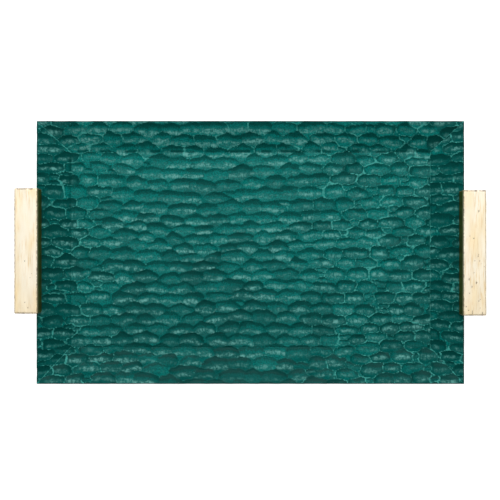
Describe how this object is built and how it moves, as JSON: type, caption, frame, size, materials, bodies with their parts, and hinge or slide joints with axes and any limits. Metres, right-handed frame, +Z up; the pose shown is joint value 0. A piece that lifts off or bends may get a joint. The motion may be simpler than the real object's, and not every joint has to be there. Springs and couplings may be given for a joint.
{
  "type": "rectangular serving tray",
  "caption": "Rectangular wooden serving tray with a flat base, flared mitred sides in gouge-carved green paint and gilded block handles over the short ends.",
  "frame": {"origin": "on the table, under the middle of the tray", "axes": "+X along the tray towards the right-hand handle, +Y towards the back long edge, +Z up"},
  "size_m": [0.498, 0.283, 0.0585],
  "materials": {
    "green_paint": "satin emerald green paint over gouge-carved wood",
    "gold_leaf": "pale gold leaf on wood, lightly worn at the edges",
    "plywood": "bare plywood",
    "screw_steel": "zinc-plated steel",
    "felt": "dark pressed felt"
  },
  "bodies": {
    "root": {"base_panel": "green_paint", "side_board_back": "green_paint", "side_board_front": "green_paint", "side_board_left": "green_paint", "side_board_right": "green_paint", "base_tongue_back": "plywood", "base_tongue_front": "plywood", "base_tongue_left": "plywood", "base_tongue_right": "plywood", "corner_spline_back_left": "plywood", "corner_spline_back_right": "plywood", "corner_spline_front_left": "plywood", "corner_spline_front_right": "plywood", "handle_left": "gold_leaf", "handle_right": "gold_leaf", "handle_plug_left_back": "gold_leaf", "handle_plug_left_front": "gold_leaf", "handle_plug_right_back": "gold_leaf", "handle_plug_right_front": "gold_leaf", "handle_screw_left_back": "screw_steel", "handle_screw_left_front": "screw_steel", "handle_screw_right_back": "screw_steel", "handle_screw_right_front": "screw_steel", "foot_pad_back_left": "felt", "foot_pad_back_right": "felt", "foot_pad_front_left": "felt", "foot_pad_front_right": "felt"}
  },
  "joints": []
}
